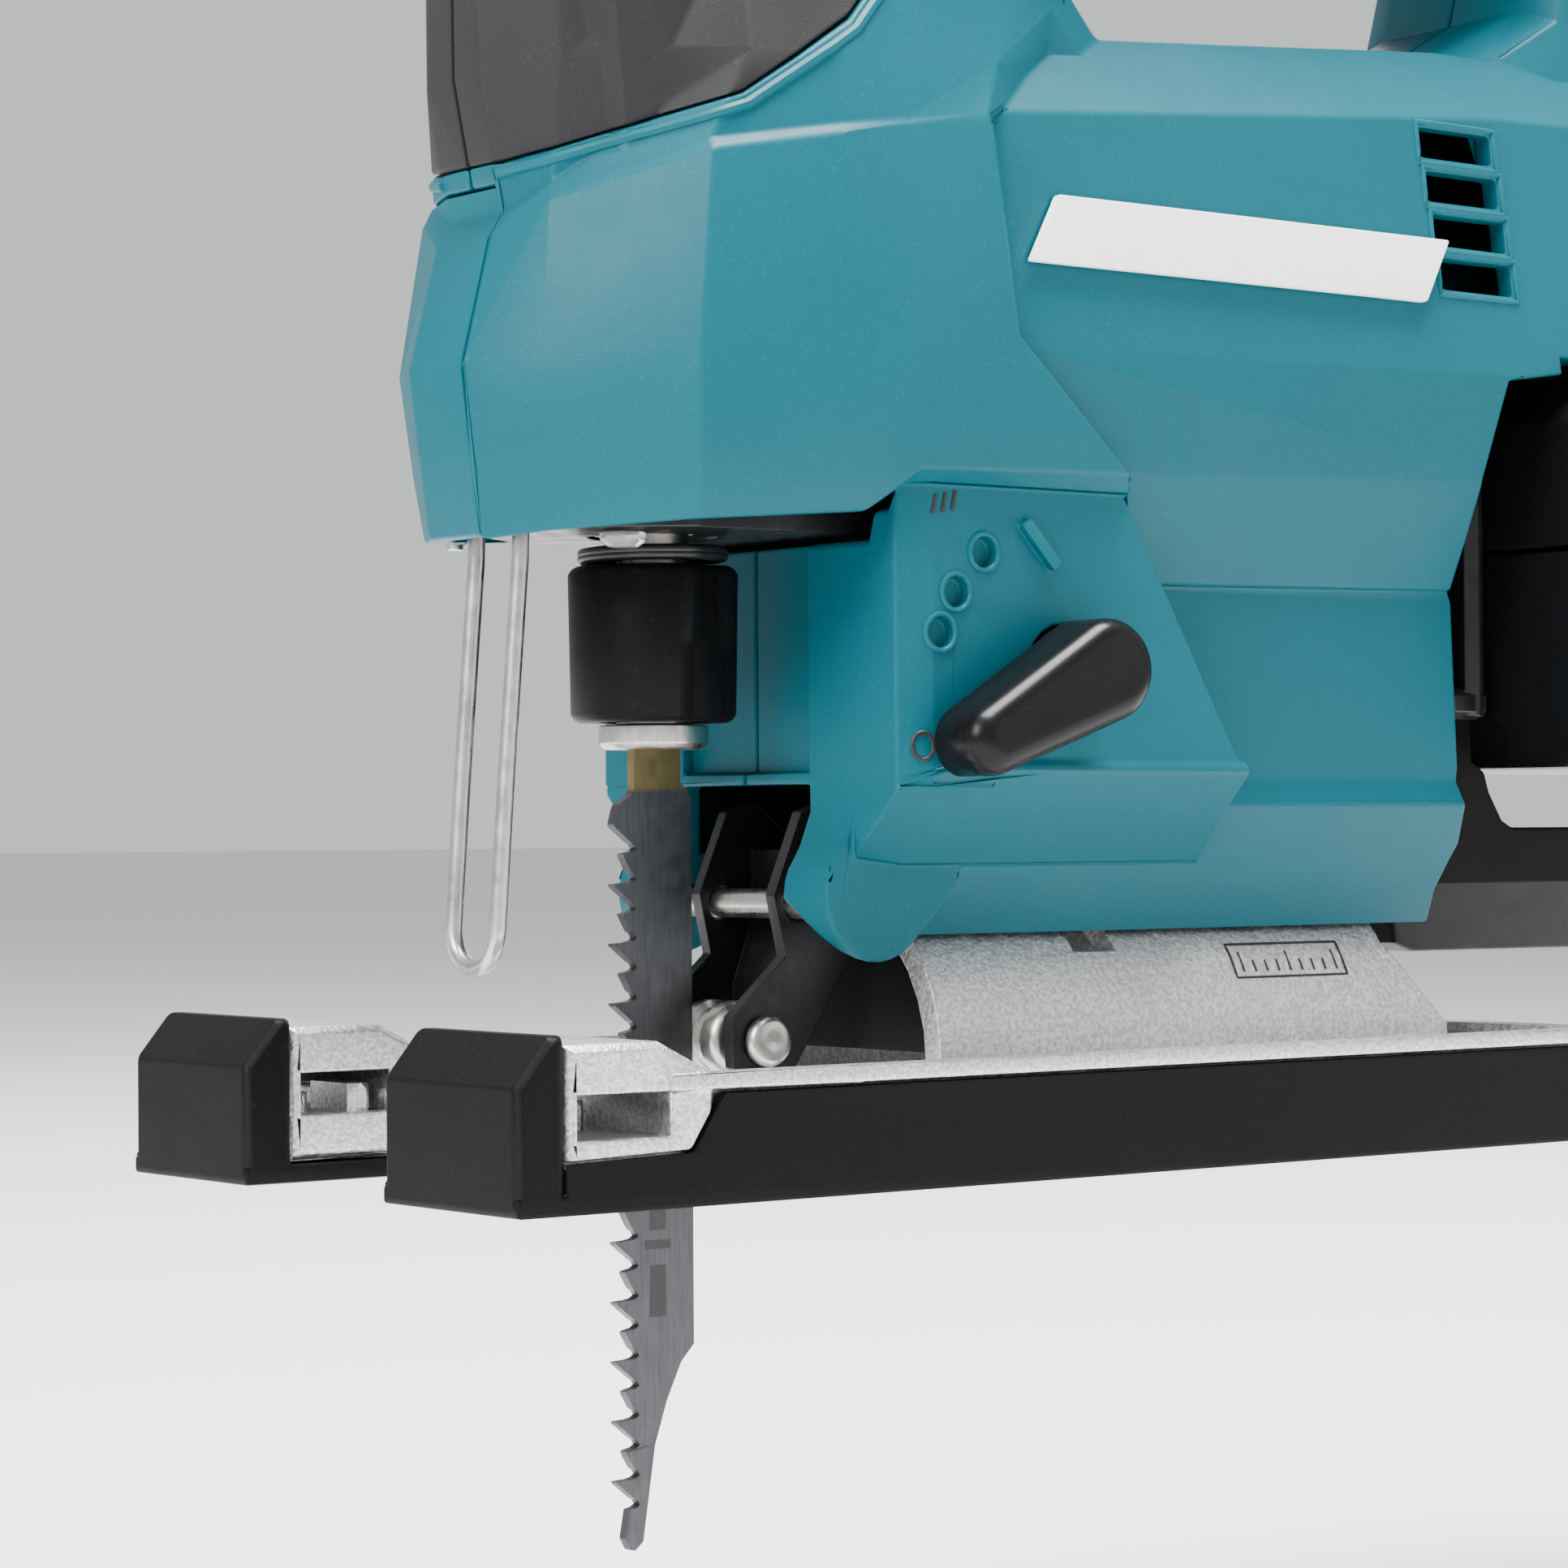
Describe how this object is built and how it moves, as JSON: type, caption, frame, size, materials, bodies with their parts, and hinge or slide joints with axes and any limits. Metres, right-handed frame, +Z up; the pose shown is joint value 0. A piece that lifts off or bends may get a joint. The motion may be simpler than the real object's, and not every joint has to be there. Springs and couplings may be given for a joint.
{
  "type": "cordless jigsaw",
  "caption": "Battery jigsaw with a D-handle: reciprocating blade in a keyless clamp, tilting base, orbital lever and slide-on battery.",
  "frame": {"origin": "middle of the sole, on the plane that slides over the work", "axes": "-X to the front of the tool, where the blade is; -Y to its left side; +Z up"},
  "size_m": [0.266, 0.077, 0.2486],
  "materials": {
    "housing_plastic": "fine-grained moulded teal",
    "soft_grip": "matt charcoal elastomer",
    "black_plastic": "satin black",
    "battery_plastic": "glossy black",
    "cast_alloy": "blasted casting",
    "bright_steel": "ground",
    "black_steel": "blackened",
    "blade_steel": "grey hardened",
    "bronze": "sintered",
    "copper_winding": "lacquered",
    "clear_lens": "clear",
    "white_plastic": "satin",
    "circuit_board": "lacquered"
  },
  "bodies": {
    "base": {"base_casting": "cast_alloy", "base_cover_plate": "black_plastic", "tilt_saddle": "cast_alloy"},
    "housing": {"housing_left": "housing_plastic", "housing_right": "housing_plastic", "grip_left": "soft_grip", "grip_right": "soft_grip", "side_badge": "white_plastic", "housing_screw_1": "black_steel", "housing_screw_2": "black_steel", "housing_screw_3": "black_steel", "housing_screw_4": "black_steel", "housing_screw_5": "black_steel", "housing_screw_6": "black_steel", "opener_hinge_pin": "bright_steel", "gear_housing": "cast_alloy", "lower_bushing": "bronze", "upper_bushing": "bronze", "led_lens": "clear_lens", "stator": "copper_winding", "front_bearing": "bright_steel", "rear_bearing": "bright_steel", "retainer_pivot_pin": "bright_steel", "guard_wire": "bright_steel", "base_bolt": "bright_steel", "base_clamp_plate": "bright_steel", "switch_body": "black_plastic", "controller_board": "circuit_board", "rear_bracket": "black_plastic", "terminal_block": "black_plastic"},
    "opener": {"tool_opener": "housing_plastic"},
    "rotor": {"rotor": "bright_steel", "cooling_fan": "black_plastic"},
    "gear": {"crank_gear": "bright_steel"},
    "plunger": {"plunger": "bright_steel", "clamp_nose": "bright_steel", "clamp_spring": "black_steel", "jigsaw_blade": "blade_steel"},
    "collar": {"clamp_collar": "black_plastic"},
    "retainer": {"retainer_fork": "black_steel", "roller_pin": "bright_steel"},
    "roller": {"blade_roller": "bright_steel"},
    "lever": {"orbital_lever": "black_plastic"},
    "trigger": {"trigger": "black_plastic"},
    "lock": {"lock_button": "black_plastic"},
    "dial": {"speed_dial": "black_plastic"},
    "battery": {"battery_lower_case": "battery_plastic", "battery_upper_case": "battery_plastic"},
    "latch": {"battery_button": "black_plastic"},
    "wrench": {"hex_wrench": "black_steel"}
  },
  "joints": [
    {"name": "base_tilt", "type": "hinge", "parent": "base", "child": "housing", "pos_m": [0, 0, 0.012], "axis": [1, 0, 0], "range_deg": [-45, 45]},
    {"name": "plunger_stroke", "type": "slide", "parent": "housing", "child": "plunger", "axis": [0, 0, -1], "range_m": [0, 0.026]},
    {"name": "opener_swing", "type": "hinge", "parent": "housing", "child": "opener", "pos_m": [-0.0468, 0.027, 0.089], "axis": [0, 0, 1], "range_deg": [-75, 0]},
    {"name": "clamp_release", "type": "hinge", "parent": "plunger", "child": "collar", "pos_m": [-0.0381, 0, 0.059], "axis": [0, 0, 1], "range_deg": [-37.5, 0]},
    {"name": "retainer_swing", "type": "hinge", "parent": "housing", "child": "retainer", "pos_m": [-0.0239, 0, 0.0299], "axis": [0, 1, 0], "range_deg": [-6, 0], "stiffness_Nm_per_rad": 0.3},
    {"name": "roller_spin", "type": "hinge", "parent": "retainer", "child": "roller", "pos_m": [-0.0286, 0, 0.0146], "axis": [0, 1, 0], "continuous": true},
    {"name": "orbit_lever", "type": "hinge", "parent": "housing", "child": "lever", "pos_m": [-0.0017, 0, 0.0558], "axis": [0, 1, 0], "range_deg": [0, 68]},
    {"name": "rotor_spin", "type": "hinge", "parent": "housing", "child": "rotor", "pos_m": [0, 0, 0.088], "axis": [1, 0, 0], "continuous": true},
    {"name": "gear_spin", "type": "hinge", "parent": "housing", "child": "gear", "pos_m": [0, 0, 0.106], "axis": [1, 0, 0], "continuous": true},
    {"name": "trigger_pull", "type": "slide", "parent": "housing", "child": "trigger", "axis": [0, 0, 1], "range_m": [0, 0.006], "stiffness_N_per_m": 400},
    {"name": "lock_push", "type": "slide", "parent": "housing", "child": "lock", "axis": [0, 1, 0], "range_m": [-0.003, 0.003]},
    {"name": "dial_turn", "type": "hinge", "parent": "housing", "child": "dial", "pos_m": [-0.046, 0, 0.178], "axis": [0, 1, 0], "range_deg": [-135, 135]},
    {"name": "battery_slide", "type": "slide", "parent": "housing", "child": "battery", "axis": [1, 0, 0], "range_m": [0, 0.09]},
    {"name": "latch_press", "type": "slide", "parent": "battery", "child": "latch", "axis": [0, 0, -1], "range_m": [0, 0.004], "stiffness_N_per_m": 600},
    {"name": "wrench_pull", "type": "slide", "parent": "housing", "child": "wrench", "axis": [0, -1, 0], "range_m": [0, 0.03]}
  ],
  "couplings": [
    {"joint": "gear_spin", "follows": "rotor_spin", "ratio": -0.16327},
    {"joint": "clamp_release", "follows": "opener_swing", "ratio": 0.5}
  ]
}
